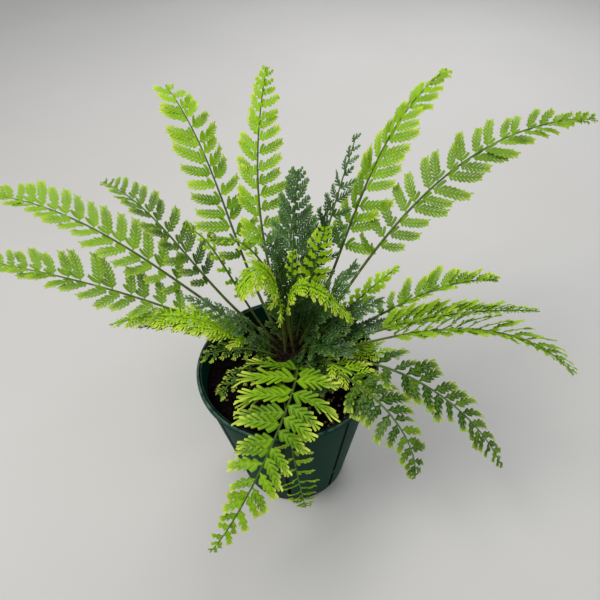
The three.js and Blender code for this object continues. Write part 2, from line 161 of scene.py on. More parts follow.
def add_mottle_group():
    """Soft patches: two colours mixed by a noise, for every natural or moulded surface here."""
    tree, given, result = new_group("mottle", ("Dark", "Light"), ("Scale", "Contrast"), "Mask")
    place = add_node(tree, "TexCoord").outputs["Object"]
    patches = add_node(tree, "TexNoise", {"Vector": place, "Scale": given["Scale"], "Detail": 5})
    centred = add_math(tree, "SUBTRACT", patches.outputs["Fac"], 0.5)
    mask = add_math(tree, "MULTIPLY_ADD", centred, given["Contrast"], 0.5, use_clamp=True)
    tree.links.new(add_mix(tree, mask, given["Dark"], given["Light"]), result["Color"])
    tree.links.new(mask, result["Mask"])
    return tree


mottle = add_mottle_group()


def add_mottle(tree, dark, light, scale, contrast):
    feeds = {"Dark": dark, "Light": light, "Scale": scale, "Contrast": contrast}
    return add_node(tree, "Group", feeds, node_tree=mottle).outputs


floor_paint, tree = new_material("floor_paint", 0.75)
floor_tint = add_mottle(tree, shade(196, 194, 190), shade(206, 204, 201), 3, 1.2)
set_surface(tree, floor_tint["Color"])
floor = fresh(bpy.ops.mesh.primitive_plane_add, size=FLOOR_WIDTH, location=(0, 0, -FLOOR_DROP))
floor.name = "studio_floor"
floor.data.materials.append(floor_paint)

# The pot: a round, tapered nursery pot, injection-moulded in dark green plastic, with a rolled
# lip, upright grooves in its wall and a narrow drain slit at the foot of each.
RIM_RADIUS = 0.0785
POT_HEIGHT = 0.144
BASE_RADIUS = 0.051
WALL = 0.002
POT_FLOOR = 0.003
LIP_HEIGHT = 0.0045
LIP_DEPTH = 0.0025
LIP_ROUND = 0.0015
LIP_EDGE = 0.0005
FOOT_ROUND = 0.0012
INNER_ROUND = 0.001
BODY_TOP_RADIUS = RIM_RADIUS - LIP_DEPTH
LIP_BOTTOM = POT_HEIGHT - LIP_HEIGHT
POT_SIDES = 144
WALL_STEPS = 6
GROOVES = 8
GROOVE_TURN = radians(-50)
GROOVE_WIDTH = 0.0036
GROOVE_DEPTH = 0.0012
GROOVE_END = 0.003
GROOVE_EDGE = 0.0005
SLIT_WIDTH = 0.003
SLIT_HEIGHT = 0.034
SLIT_REACH = 0.014
SLIT_EDGE = 0.0008
MOULD_EDGE = 0.00025


def outer_radius_at(height):
    return BASE_RADIUS + (BODY_TOP_RADIUS - BASE_RADIUS) * height / LIP_BOTTOM


def rounded(radius, height, size, turn, steps=5):
    """Stations round a quarter circle, from turn degrees to turn + 90."""
    angles = [radians(turn + 90 * i / steps) for i in range(steps + 1)]
    return [(radius + size * cos(a), height + size * sin(a)) for a in angles]


def edit():
    bpy.ops.object.mode_set(mode="EDIT")


def end_edit():
    bpy.ops.object.mode_set(mode="OBJECT")


def pull_up(stations, start_radius, start_height):
    """In edit mode: the whole ring is extruded through each station of a turned outline."""
    bpy.ops.mesh.select_all(action="SELECT")
    last_radius, last_height = start_radius, start_height
    for radius, height in stations:
        bpy.ops.mesh.extrude_region_move(
            TRANSFORM_OT_translate={"value": (0, 0, height - last_height)})
        ratio = radius / last_radius
        bpy.ops.transform.resize(value=(ratio, ratio, 1), center_override=(0, 0, height))
        last_radius, last_height = radius, height


def face_outward():
    """In edit mode: all faces are turned outwards, and edit mode ends."""
    bpy.ops.mesh.select_all(action="SELECT")
    bpy.ops.mesh.normals_make_consistent(inside=False)
    end_edit()


def smooth_under(degrees):
    bpy.ops.object.shade_smooth_by_angle(angle=radians(degrees))


def finish_with(piece, kind, **values):
    """A modifier with its settings, applied at once."""
    bpy.context.view_layer.objects.active = piece
    modifier = piece.modifiers.new(kind.lower(), kind)
    for key, value in values.items():
        setattr(modifier, key, value)
    bpy.ops.object.modifier_apply(modifier=modifier.name)


def join_into(piece):
    """All that is selected becomes one mesh with the piece."""
    piece.select_set(True)
    bpy.context.view_layer.objects.active = piece
    bpy.ops.object.join()


foot_radius = BASE_RADIUS - FOOT_ROUND
pot = fresh(bpy.ops.mesh.primitive_circle_add, vertices=POT_SIDES, radius=foot_radius,
            fill_type="NGON")
pot.name = "pot_shell"
inner_top = BODY_TOP_RADIUS - WALL
wall_heights = [LIP_BOTTOM * i / WALL_STEPS for i in range(1, WALL_STEPS + 1)]
pot_outline = [
    (BASE_RADIUS - FOOT_ROUND * 0.3, FOOT_ROUND * 0.3),
    (outer_radius_at(FOOT_ROUND), FOOT_ROUND),
    *[(outer_radius_at(height), height) for height in wall_heights],
    (RIM_RADIUS - LIP_EDGE, LIP_BOTTOM),
    (RIM_RADIUS, LIP_BOTTOM + LIP_EDGE),
    *rounded(RIM_RADIUS - LIP_ROUND, POT_HEIGHT - LIP_ROUND, LIP_ROUND, 0),
    *rounded(inner_top + LIP_ROUND, POT_HEIGHT - LIP_ROUND, LIP_ROUND, 90),
    (inner_top, LIP_BOTTOM),
    *[(outer_radius_at(height) - WALL, height) for height in wall_heights[-2::-1]],
    (outer_radius_at(POT_FLOOR) - WALL, POT_FLOOR + INNER_ROUND),
    (outer_radius_at(POT_FLOOR) - WALL - INNER_ROUND, POT_FLOOR),
]
edit()
pull_up(pot_outline, foot_radius, 0)
bpy.ops.mesh.select_all(action="SELECT")
bpy.ops.mesh.remove_doubles(threshold=0.00001)
face_outward()

wall_lean = atan2(BODY_TOP_RADIUS - BASE_RADIUS, LIP_BOTTOM)
groove_bottom = SLIT_HEIGHT + GROOVE_END
groove_top = LIP_BOTTOM - GROOVE_END
groove_middle = (groove_bottom + groove_top) / 2
groove_size = (GROOVE_DEPTH * 2, GROOVE_WIDTH, groove_top - groove_bottom)
slit_low = POT_FLOOR + INNER_ROUND
slit_size = (SLIT_REACH, SLIT_WIDTH, SLIT_HEIGHT - slit_low)


def wall_cutter(size, radius, height, lean, azimuth, edge):
    """A long rounded block that is set into the wall at one azimuth."""
    place = (radius * cos(azimuth), radius * sin(azimuth), height)
    cutter = fresh(bpy.ops.mesh.primitive_cube_add, size=1)
    edit()
    bpy.ops.transform.resize(value=size)
    bpy.ops.mesh.bevel(offset=edge, segments=3, affect="EDGES")
    end_edit()
    turn = Matrix.Rotation(azimuth, 4, "Z") @ Matrix.Rotation(lean, 4, "Y")
    cutter.matrix_world = Matrix.Translation(place) @ turn
    return cutter


cutters = []
for i in range(GROOVES):
    azimuth = GROOVE_TURN + i * tau / GROOVES
    cutters.append(wall_cutter(groove_size, outer_radius_at(groove_middle), groove_middle,
                               wall_lean, azimuth, GROOVE_EDGE))
    cutters.append(wall_cutter(slit_size, BASE_RADIUS, (SLIT_HEIGHT + slit_low) / 2, 0,
                               azimuth, SLIT_EDGE))
deselect_all()
for cutter in cutters:
    cutter.select_set(True)
join_into(cutters[0])
deselect_all()
pot.select_set(True)
finish_with(pot, "BOOLEAN", object=cutters[0], operation="DIFFERENCE", solver="EXACT")
bpy.data.objects.remove(cutters[0])
finish_with(pot, "BEVEL", width=MOULD_EDGE, segments=2, limit_method="ANGLE",
            angle_limit=radians(50))
smooth_under(40)

# Satin plastic: slightly uneven green, fine moulding grain, and paler on what faces up: partly
# dust, and partly a painted sheen on the rim's top
pot_plastic, tree = new_material("pot_plastic", 0.5, 0.05)
plastic = add_mottle(tree, shade(2, 48, 34), shade(12, 64, 48), 28, 1.6)["Color"]
dust = add_mottle(tree, BLACK, WHITE, 160, 3.2)["Mask"]
facing = add_node(tree, "NewGeometry").outputs["Normal"]
upward = add_node(tree, "MapRange", {
    "Value": add_node(tree, "SeparateXYZ", {0: facing}).outputs["Z"],
    "From Min": 0.15, "From Max": 0.95, "To Max": 0.34}).outputs[0]
dust_and_sheen = add_mix(tree, add_math(tree, "MULTIPLY", upward, dust), plastic, shade(138, 158, 146))
# Painted shade: the grooves are painted near black for the shadow that lies in them, found as
# what lies just below the wall's skin
spot = add_node(tree, "TexCoord").outputs["Object"]
flat_spot = add_node(tree, "VectorMath", {0: spot, 1: (1, 1, 0)}, operation="MULTIPLY").outputs[0]
spot_reach = add_node(tree, "VectorMath", {0: flat_spot}, operation="LENGTH").outputs["Value"]
spot_height = add_node(tree, "SeparateXYZ", {0: spot}).outputs["Z"]
skin_reach = add_math(tree, "MULTIPLY_ADD", spot_height,
                      (BODY_TOP_RADIUS - BASE_RADIUS) / LIP_BOTTOM, BASE_RADIUS)
below_skin = add_math(tree, "SUBTRACT", skin_reach, spot_reach)
groove_painted_shade = add_math(tree, "COMPARE", below_skin, GROOVE_DEPTH, GROOVE_DEPTH * 0.6)
mould_grain = add_mottle(tree, BLACK, WHITE, 900, 1)["Mask"]
set_surface(tree, add_mix(tree, groove_painted_shade, dust_and_sheen, shade(3, 16, 11)), mould_grain, 0.16, 0.0004)
pot.data.materials.append(pot_plastic)
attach(pot, "root")
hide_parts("pot")

# The potting mix: dark peat with bark, grit and a few tan clay granules, pressed in by hand to
# just below the rim. It fills the pot.
SOIL_HEIGHT = 0.126
SOIL_GAP = 0.0003
SOIL_RINGS = 24
SOIL_SIDES = 96
GRANULES = 950
PALE_SHARE = 0.06
PALE_SHARE_IN_FRONT = 0.42
FRONT_X, FRONT_Y = 0.012, -0.008
PALE_SIZES, DARK_SIZES = (0.0008, 0.0017), (0.0007, 0.0026)
PALE_SHADES, DARK_SHADES = (0.72, 1), (0.08, 0.5)
STRETCHES = ((0.8, 1.2), (0.8, 2.0), (0.5, 0.9))
CRUMBS_PER_METRE, CRUMB_HEIGHT = 420, 0.0007
CLODS_PER_METRE, CLOD_HEIGHT = 110, 0.0016
soil_radius = outer_radius_at(SOIL_HEIGHT) - WALL - SOIL_GAP
soil_foot = outer_radius_at(POT_FLOOR) - WALL - INNER_ROUND - SOIL_GAP
soil_draw = random.Random(11)

soil = fresh(bpy.ops.mesh.primitive_circle_add, vertices=SOIL_SIDES, radius=soil_foot,
             fill_type="NGON", location=(0, 0, POT_FLOOR + SOIL_GAP))
bpy.ops.object.transform_apply(location=True)
soil.name = "soil_fill"
edit()
pull_up([(soil_radius, SOIL_HEIGHT)], soil_foot, POT_FLOOR + SOIL_GAP)
for ring in range(SOIL_RINGS):
    bpy.ops.mesh.inset(thickness=soil_radius / (SOIL_RINGS + 0.6), depth=0)
face_outward()


def soil_bump(x, y):
    crumbs = noise.noise(Vector((x * CRUMBS_PER_METRE, y * CRUMBS_PER_METRE, 0.3)))
    clods = noise.noise(Vector((x * CLODS_PER_METRE, y * CLODS_PER_METRE, 7)))
    return CRUMB_HEIGHT * crumbs + CLOD_HEIGHT * clods


for vertex in soil.data.vertices:
    if vertex.co.z > SOIL_HEIGHT - 0.001 and vertex.co.xy.length < soil_radius * 0.98:
        vertex.co.z += soil_bump(vertex.co.x, vertex.co.y)


def paint(piece, name, value):
    """A number on every point of a mesh, or one for each, for its material to read."""
    layer = piece.data.attributes.get(name) or piece.data.attributes.new(name, "FLOAT", "POINT")
    layer.data.foreach_set("value", np.full(len(piece.data.vertices), value, np.float32))


def own_copy(source, name):
    """A copy with a mesh of its own, in the scene and selected."""
    copy = source.copy()
    copy.data = source.data.copy()
    copy.name = name
    bpy.context.scene.collection.objects.link(copy)
    copy.select_set(True)
    return copy


paint(soil, "grain", 0)
granule = fresh(bpy.ops.mesh.primitive_ico_sphere_add, subdivisions=1, radius=1)
for vertex in granule.data.vertices:
    vertex.co *= 0.82 + 0.36 * soil_draw.random()
paint(granule, "grain", 0)
deselect_all()
for i in range(GRANULES):
    reach = soil_radius * sqrt(soil_draw.uniform(0.03, 0.94))
    turn = soil_draw.uniform(0, tau)
    x, y = reach * cos(turn), reach * sin(turn)
    grain = own_copy(granule, "grain")
    in_front = x > FRONT_X and y < FRONT_Y
    pale = soil_draw.random() < (PALE_SHARE_IN_FRONT if in_front else PALE_SHARE)
    size = soil_draw.uniform(*(PALE_SIZES if pale else DARK_SIZES))
    stretch = [size * soil_draw.uniform(*ends) for ends in STRETCHES]
    turned = Matrix.Rotation(soil_draw.uniform(0, tau), 4, "Z")
    turned = turned @ Matrix.Rotation(soil_draw.uniform(-0.5, 0.5), 4, "X")
    place = Matrix.Translation((x, y, SOIL_HEIGHT + soil_bump(x, y) + size * 0.25))
    grain.data.transform(place @ turned @ Matrix.Diagonal((*stretch, 1)))
    paint(grain, "grain", soil_draw.uniform(*(PALE_SHADES if pale else DARK_SHADES)))
bpy.data.objects.remove(granule)
join_into(soil)


def add_ramp(tree, share, first, last, *stops):
    """A colour ramp from the first colour to the last, with a place and a colour for each stop."""
    ramp = add_node(tree, "ValToRGB", {"Fac": share})
    elements = ramp.color_ramp.elements
    elements[0].color, elements[1].color = first, last
    for place, colour in stops:
        elements.new(place).color = colour
    return ramp.outputs["Color"]


def add_attribute(tree, name):
    return add_node(tree, "Attribute", attribute_name=name).outputs["Fac"]


# Damp peat, near black, with each granule its own brown and the pale ones ochre
potting_mix, tree = new_material("potting_mix", 0.9, 0.08)
peat = add_mottle(tree, shade(5, 3, 3), shade(17, 12, 9), 700, 3)
own_shade = add_attribute(tree, "grain")
browns = add_ramp(tree, own_shade, shade(14, 9, 7), shade(196, 158, 108),
                  (0.5, shade(26, 18, 12)), (0.75, shade(150, 108, 66)))
is_grain = add_math(tree, "GREATER_THAN", own_shade, 0.04)
speckled = add_mix(tree, is_grain, peat["Color"], browns)
stain = add_mottle(tree, shade(120, 105, 95), WHITE, 1500, 2.5)["Color"]
stained = add_mix(tree, 0.55, speckled, stain, blend_type="MULTIPLY")
set_surface(tree, stained, peat["Mask"], 0.7, 0.001)
soil.data.materials.clear()
soil.data.materials.append(potting_mix)
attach(soil, "root")
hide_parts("soil")

# The crown: a short woody rootstock, half sunk in the mix, rough with the stubs of old stalks and
# brown papery scales, and the frond stalks stand in it.
CROWN_MIDDLE = Vector((0.004, 0.022, 0))
CROWN_RADIUS = 0.026
CROWN_RISE = 0.012
CROWN_SUNK = 0.016
CROWN_FILL = 0.96
KNOBS, KNOB_HEIGHT = 5, 0.09
PITS, PIT_DEPTH = 13, 0.06
STUBS = 46
STUB_LENGTH = 0.007
STUB_FOOT, STUB_END = 0.0017, 0.0009
crown_draw = random.Random(5)


def crown_height_at(ring):
    return SOIL_HEIGHT + CROWN_RISE * sqrt(max(0, 1 - (ring / CROWN_RADIUS) ** 2))


crown_seat = Vector((*CROWN_MIDDLE.xy, SOIL_HEIGHT))
crown = fresh(bpy.ops.mesh.primitive_uv_sphere_add, segments=48, ring_count=24, radius=1,
              location=crown_seat)
crown.name = "crown_rootstock"
bpy.ops.object.transform_apply(location=True)
for vertex in crown.data.vertices:
    way = vertex.co - crown_seat
    rise = CROWN_RISE if way.z > 0 else CROWN_SUNK
    rough = 1 + KNOB_HEIGHT * noise.noise(way * KNOBS) + PIT_DEPTH * noise.noise(way * PITS)
    vertex.co.x = CROWN_MIDDLE.x + way.x * CROWN_RADIUS * CROWN_FILL * rough
    vertex.co.y = CROWN_MIDDLE.y + way.y * CROWN_RADIUS * CROWN_FILL * rough
    vertex.co.z = SOIL_HEIGHT + way.z * rise * rough


def standing_cone(sides, foot, end, length):
    """A small cone whose foot is at the origin."""
    cone = fresh(bpy.ops.mesh.primitive_cone_add, vertices=sides, radius1=foot, radius2=end,
                 depth=length)
    edit()
    bpy.ops.transform.translate(value=(0, 0, length / 2))
    end_edit()
    return cone


stub = standing_cone(7, STUB_FOOT, STUB_END, STUB_LENGTH)
deselect_all()
for i in range(STUBS):
    ring = CROWN_RADIUS * sqrt(crown_draw.uniform(0.02, 0.9))
    turn = crown_draw.uniform(0, tau)
    lean = 0.2 + 0.9 * ring / CROWN_RADIUS
    piece = own_copy(stub, "stub")
    spot = CROWN_MIDDLE + Vector((ring * cos(turn), ring * sin(turn),
                                  crown_height_at(ring) - STUB_LENGTH / 2))
    way = Matrix.Rotation(turn, 4, "Z") @ Matrix.Rotation(lean, 4, "Y")
    size = crown_draw.uniform(0.7, 1.3)
    piece.data.transform(Matrix.Translation(spot) @ way @ Matrix.Scale(size, 4))
bpy.data.objects.remove(stub)
join_into(crown)
smooth_under(50)

# The rootstock: its own mottled brown bark, darkened near black as painted shade for the shadow it
# lies in under the fronds
rootstock, tree = new_material("rootstock", 0.85, 0.08)
bark_and_painted_shade = add_mottle(tree, shade(12, 10, 6), shade(44, 36, 22), 260, 3.4)
set_surface(tree, bark_and_painted_shade["Color"], bark_and_painted_shade["Mask"], 0.8, 0.0012)
crown.data.materials.append(rootstock)
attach(crown, "root")
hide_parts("crown")

# The leaflets: thin, leathery, cut almost to the middle vein into narrow blunt lobes that point
# forward. Each form is modelled once, flat, and every leaflet is a copy of one, bent and set on.
LEAFLET_THICKNESS = 0.0003
LOBE_ROOT = 0.42
LOBE_SWELLS_BY = 1.5
EAR_FILL = 1.35
END_LOBE_FILL = 1.6
PALE_OUT, PALE_ALONG = 0.35, 0.65
leaflet_draw = random.Random(23)


def extrude_lobes(leaf, rows):
    """In edit mode: the lobes' roots on both edges of the strip are extruded out, row by row."""
    bpy.ops.mesh.select_mode(type="EDGE")
    for side in (1, -1):
        for row in range(1, rows + 1):
            mesh = bmesh.from_edit_mesh(leaf.data)
            for edge in mesh.edges:
                ends = [vertex.co for vertex in edge.verts]
                on_row = all(abs(end.y - side * row) < 0.1 for end in ends)
                on_lobe = round(min(ends[0].x, ends[1].x)) % 3 > 0
                edge.select_set(on_row and on_lobe)
            mesh.select_flush_mode()
            bmesh.update_edit_mesh(leaf.data)
            bpy.ops.mesh.extrude_region_move(TRANSFORM_OT_translate={"value": (0, side, 0)})
    bpy.ops.mesh.select_mode(type="VERT")


def shape_leaflet(leaf, columns, rows, size):
    """Moves the points of the flat comb of strip and lobes to the real outline."""
    pairs = (columns - 1) // 3
    tilts = [leaflet_draw.uniform(-1, 1) for _ in range(2 * pairs)]
    length = size["length"]
    pitch = length * (size["midrib"] - size["stalk"]) / pairs
    veins, tips = [], []
    for vertex in leaf.data.vertices:
        column, row = round(vertex.co.x), vertex.co.y
        side = 1 if row > 0 else -1
        lobe = min(max(column - 1, 0) // 3, pairs - 1)
        across = column - (3 * lobe + 2)
        far = (lobe + 0.5) / pairs
        root = size["stalk"] * length + pitch * (lobe + 0.5)
        breadth = size["waist"] + (1 - size["waist"]) * min(1, 2.2 * far)
        breadth = size["strip"] * breadth * (1 - 0.4 * far)
        if abs(row) < 1.5:
            along = root + across * LOBE_ROOT * pitch
            if column == 0:
                along, breadth = 0, 0.0003
            if column == columns:
                along, breadth = length, 0.5 * pitch * size["cap"]
            vertex.co = (along, row * breadth, 0)
            veins.append(1.0 if abs(row) < 0.5 or across == 0 else 0.0)
            tips.append(size["pale"] * PALE_ALONG * (along / length) ** 2)
            continue
        out = (abs(row) - 1) / rows
        angle = size["first_angle"] + (size["last_angle"] - size["first_angle"]) * far
        angle = radians(angle)
        reach = size["lobe"](far)
        swell = (size["blade"] - size["neck"]) * min(1, out * LOBE_SWELLS_BY)
        fill = size["neck"] + swell
        if lobe == 0 and side > 0:
            angle += radians(size["ear_angle"])
            reach, fill = reach * size["ear"], min(fill * EAR_FILL, 2.02 - size["blade"])
        elif lobe == 0:
            reach *= size["heel"]
        reach *= 1 + size["uneven"] * tilts[2 * lobe + (side < 0)]
        curved = angle - radians(size["sweep"]) * out
        way = Vector((cos(curved), sin(curved)))
        cross = Vector((sin(curved), -cos(curved)))
        half = 0.5 * pitch * sin(curved) * fill
        if lobe == pairs - 1 and across > 0:
            half *= END_LOBE_FILL
        notch = 0
        if out > 0.99:
            half *= size["end"]
            notch = 0 if abs(across) > 0.5 else size["notch"]
        point = Vector((root, breadth)) + way * reach * (out - notch) + cross * across * half
        tilt = tilts[2 * lobe + (side > 0)] * size["ruffle"] * out * out
        vertex.co = (point.x, side * point.y, tilt)
        veins.append(1.0 if abs(across) < 0.5 else 0.0)
        pale = PALE_OUT * out + PALE_ALONG * (point.x / length) ** 2
        tips.append(min(1, size["pale"] * pale))
    paint(leaf, "vein", veins)
    paint(leaf, "tip", tips)


def model_leaflet(pairs, rows, size):
    columns = 3 * pairs + 1
    leaf = fresh(bpy.ops.mesh.primitive_grid_add, x_subdivisions=columns, y_subdivisions=2, size=2)
    edit()
    bpy.ops.transform.resize(value=(columns / 2, 1, 1), center_override=(0, 0, 0))
    bpy.ops.transform.translate(value=(columns / 2, 0, 0))
    extrude_lobes(leaf, rows)
    end_edit()
    shape_leaflet(leaf, columns, rows, size)
    finish_with(leaf, "SOLIDIFY", thickness=LEAFLET_THICKNESS, offset=0)
    edit()
    face_outward()
    smooth_under(50)
    leaf["length"] = size["length"]
    return leaf


def narrow(length, lobe):
    """Sizes of an oblong leaflet, cut almost to its middle vein, with an ear beside the rib."""
    return dict(length=length, stalk=0.07, midrib=0.92, strip=0.04 * length, waist=0.7,
                first_angle=62, last_angle=36, sweep=12,
                lobe=lambda far: lobe * (0.64 + 0.8 * far) * (1 - 1.3 * max(0, far - 0.65)),
                neck=0.78, blade=0.94, end=0.84, ear=1.9, ear_angle=6, heel=0.8, notch=0,
                ruffle=0.0012, uneven=0.16, pale=1.1, cap=0.6)


def fingered(length):
    """Sizes of a long leaflet whose lobes are fingers that lie almost along its middle vein."""
    return dict(length=length, stalk=0.02, midrib=0.8, strip=0.026 * length, waist=0.6,
                first_angle=50, last_angle=25, sweep=8,
                lobe=lambda far: length * (0.19 + 0.16 * far) * (1 - 0.5 * max(0, far - 0.6)),
                neck=0.8, blade=0.88, end=0.92, ear=1.1, ear_angle=6, heel=1, notch=0,
                ruffle=0.1 * length, uneven=0.2, pale=1.12, cap=0.44)


def lacy(length):
    """Sizes of a small open leaflet: a few thin, spreading fingers."""
    return dict(length=length, stalk=0.06, midrib=0.84, strip=0.03 * length, waist=0.6,
                first_angle=58, last_angle=30, sweep=12,
                lobe=lambda far: length * (0.33 - 0.1 * far), neck=0.5, blade=0.56, end=0.7,
                ear=1.0, ear_angle=8, heel=0.9, notch=0.06, ruffle=0.09 * length, uneven=0.2,
                pale=1.55, cap=0.4)


def aged(length):
    """Sizes of an old inner leaflet: a few blunt lobes with open slits between them."""
    return dict(length=length, stalk=0.06, midrib=0.86, strip=0.05 * length, waist=0.7,
                first_angle=58, last_angle=32, sweep=10,
                lobe=lambda far: length * (0.2 + 0.08 * far) * (1 - 0.9 * max(0, far - 0.6)),
                neck=0.58, blade=0.7, end=0.8, ear=1.4, ear_angle=6, heel=0.9, notch=0,
                ruffle=0.06 * length, uneven=0.2, pale=1.1, cap=0.6)


def spoon(length, lobe):
    """Sizes of a young leaflet: narrow at the foot, broad and bluntly toothed at the end."""
    return dict(length=length, stalk=0.12, midrib=0.88, strip=0.4 * lobe, waist=0.4,
                first_angle=48, last_angle=26, sweep=10, lobe=lambda far: lobe * (0.5 + 0.5 * far),
                neck=0.94, blade=0.84, end=0.8, ear=1.2, ear_angle=10, heel=0.7, notch=0.02,
                ruffle=0.0007, uneven=0.16, pale=1.2, cap=0.66)


# Each form in its lengths: the pairs of lobes, the rows of faces out along a lobe, and the sizes
FORMS = {
    "cut": [(8, 3, narrow(0.029, 0.0057)), (7, 3, narrow(0.022, 0.0046)),
            (5, 3, narrow(0.0155, 0.0034)), (3, 3, narrow(0.0095, 0.0022))],
    "fingered": [(7, 5, fingered(0.042)), (5, 4, fingered(0.028)), (4, 3, fingered(0.018))],
    "lacy": [(5, 4, lacy(0.023)), (4, 4, lacy(0.017)), (3, 3, lacy(0.011))],
    "aged": [(5, 3, aged(0.021)), (4, 3, aged(0.014)), (3, 2, aged(0.009))],
    "spoon": [(4, 3, spoon(0.022, 0.0056)), (3, 3, spoon(0.0155, 0.0047)),
              (2, 2, spoon(0.0085, 0.0028))],
}
for form, lengths in FORMS.items():
    FORMS[form] = [model_leaflet(*sizes) for sizes in lengths]

# The three leaf finishes: pale yellow-green young tissue, full green and the blue-green of the old
# inner fronds. Paler towards the lobe tips, with a fine vein in each lobe; on the dark finish the
# pale tips and veins are partly a painted highlight for the gloss of the old leaflets.


def add_tissue_group():
    tree, given, result = new_group("leaf_tissue", ("Deep", "Bright", "Tip", "Vein"),
                                    ("Paleness", "Vein strength"), "Height")
    place = add_node(tree, "TexCoord").outputs["Object"]
    patches = add_node(tree, "TexNoise", {"Vector": place, "Scale": 70, "Detail": 3})
    fine = add_node(tree, "TexNoise", {"Vector": place, "Scale": 1400})
    own = add_math(tree, "SUBTRACT", add_attribute(tree, "shade"), 0.45)
    lightness = add_math(tree, "MULTIPLY_ADD", patches.outputs["Fac"], 0.9, own, use_clamp=True)
    body = add_mix(tree, lightness, given["Deep"], given["Bright"])
    pale = add_node(tree, "MapRange", {"Value": add_attribute(tree, "tip"), "From Min": 0.38},
                    interpolation_type="SMOOTHSTEP").outputs[0]
    paleness = add_math(tree, "MULTIPLY", pale, given["Paleness"])
    tipped = add_mix(tree, paleness, body, given["Tip"])
    vein_range = {"Value": add_attribute(tree, "vein"), "From Min": 0.62, "From Max": 0.9}
    line = add_node(tree, "MapRange", vein_range, interpolation_type="SMOOTHSTEP").outputs[0]
    line_share = add_math(tree, "MULTIPLY", line, given["Vein strength"])
    height = add_math(tree, "MULTIPLY_ADD", fine.outputs["Fac"], 0.35, line)
    tree.links.new(add_mix(tree, line_share, tipped, given["Vein"]), result["Color"])
    tree.links.new(height, result["Height"])
    return tree


leaf_tissue = add_tissue_group()


def leaf_finish(name, deep, bright, tip, vein, paleness, vein_strength, roughness, sheen=0.12):
    material, tree = new_material(name, roughness, sheen)
    tissue = add_node(tree, "Group", {
        "Deep": deep, "Bright": bright, "Tip": tip, "Vein": vein, "Paleness": paleness,
        "Vein strength": vein_strength}, node_tree=leaf_tissue).outputs
    set_surface(tree, tissue["Color"], tissue["Height"], 0.35, 0.0003)
    inputs = tree.nodes["Principled BSDF"].inputs
    inputs["Subsurface Weight"].default_value = 0.3
    inputs["Subsurface Radius"].default_value = (0.5, 1, 0.12)
    inputs["Subsurface Scale"].default_value = 0.0012
    return material


leaf_bright = leaf_finish("leaf_bright", shade(70, 114, 6), shade(150, 194, 14),
                          shade(222, 238, 96), shade(176, 206, 60), 0.75, 0.3, 0.5)
leaf_mid = leaf_finish("leaf_mid", shade(24, 62, 4), shade(132, 170, 24),
                       shade(188, 212, 74), shade(134, 168, 48), 0.75, 0.3, 0.46, 0.2)
# The dark finish: its pale tips and veins are partly painted highlight, for the gloss on old
# leaflets
leaf_dark = leaf_finish("leaf_dark", shade(6, 28, 6), shade(62, 104, 38),
                        shade(128, 166, 84), shade(98, 130, 70), 0.85, 0.4, 0.34, 0.34)

# The fronds: each a wiry stalk with leaflets left and right by turns, long ones arching out over
# the rim and short ones filling the middle. They grow from the crown, papery-scaled at the foot.
RIB_SIDES = 3
RIB_STEPS = 44
RIB_THICK, RIB_THIN = 0.0015, 0.0011
RIB_TIP, ROLLED_RIB_TIP = 0.0004, 0.0007
STALK_FOOT_SUNK = 0.004
RIB_SAMPLES = 400
RIB_STRIDE = 0.002
COIL_TURNS, COIL_STEPS, COIL_TIGHTENS = 1.7, 16, 0.66
SCALES = 9
SCALE_LENGTH, SCALE_RADIUS, SCALE_FLATNESS = 0.006, 0.0007, 0.4
SCALES_FROM, SCALES_SPREAD = 0.004, 0.05
frond_draw = random.Random(41)

stalk_skin, tree = new_material("stalk_skin", 0.45, 0.12)
skins = add_ramp(tree, add_attribute(tree, "skin"), shade(96, 136, 60), shade(132, 176, 30),
                 (0.4, shade(96, 96, 44)), (0.7, shade(76, 108, 34)))
streaks = add_mottle(tree, shade(150, 150, 150), WHITE, 240, 2.6)
streaked = add_mix(tree, 0.6, skins, streaks["Color"], blend_type="MULTIPLY")
set_surface(tree, streaked, streaks["Mask"], 0.3, 0.0003)

chaff = standing_cone(4, SCALE_RADIUS, 0, SCALE_LENGTH)
edit()
bpy.ops.transform.resize(value=(SCALE_FLATNESS, 1, 1), center_override=(0, 0, 0))
end_edit()
chaff_skin, tree = new_material("chaff_skin", 0.8)
set_surface(tree, add_mottle(tree, shade(34, 24, 14), shade(92, 70, 42), 500, 2)["Color"])
chaff.data.materials.append(chaff_skin)


class Rib:
    """The middle line of a frond, from the crown to the tip, and the way its blade faces."""

    def __init__(self, tip, root, rise, fall, sway, handles):
        self.root = self.around(*root, crown_height_at(root[0]))
        azimuth, reach, height = tip
        self.tip = self.around(reach, azimuth, height)
        span = self.tip - self.root
        outward = Vector((span.x, span.y, 0)).normalized()
        self.side = Vector((-outward.y, outward.x, 0))
        aside = self.side * sway * 4 / 3
        first, last = handles
        self.low = self.root + self.slope(outward, rise) * span.length * first + aside
        self.high = self.tip - self.slope(outward, fall) * span.length * last + aside
        self.shares = np.linspace(0, 1, RIB_SAMPLES)
        self.path = self.bend(self.shares)
        steps = np.linalg.norm(np.diff(self.path, axis=0), axis=1)
        self.reached = np.concatenate([[0], np.cumsum(steps)])
        self.length = self.reached[-1]

    @staticmethod
    def around(reach, degrees, height):
        angle = radians(degrees)
        return CROWN_MIDDLE + Vector((reach * cos(angle), reach * sin(angle), height))

    @staticmethod
    def slope(outward, degrees):
        angle = radians(degrees)
        return Vector((outward.x * cos(angle), outward.y * cos(angle), sin(angle)))

    def bend(self, shares):
        t = np.asarray(shares, float)[:, None]
        a, b, c, d = (np.array(p) for p in (self.root, self.low, self.high, self.tip))
        return (1 - t) ** 3 * a + 3 * (1 - t) ** 2 * t * b + 3 * (1 - t) * t * t * c + t ** 3 * d

    def frame_at(self, share):
        """The point at that share of the length, and the ways along, up and left there."""
        t = float(np.interp(share * self.length, self.reached, self.shares))
        before, point, after = self.bend([max(0, t - RIB_STRIDE), t, min(1, t + RIB_STRIDE)])
        along = Vector(after - before).normalized()
        up = along.cross(self.side).normalized()
        return Vector(point), along, up, up.cross(along).normalized()


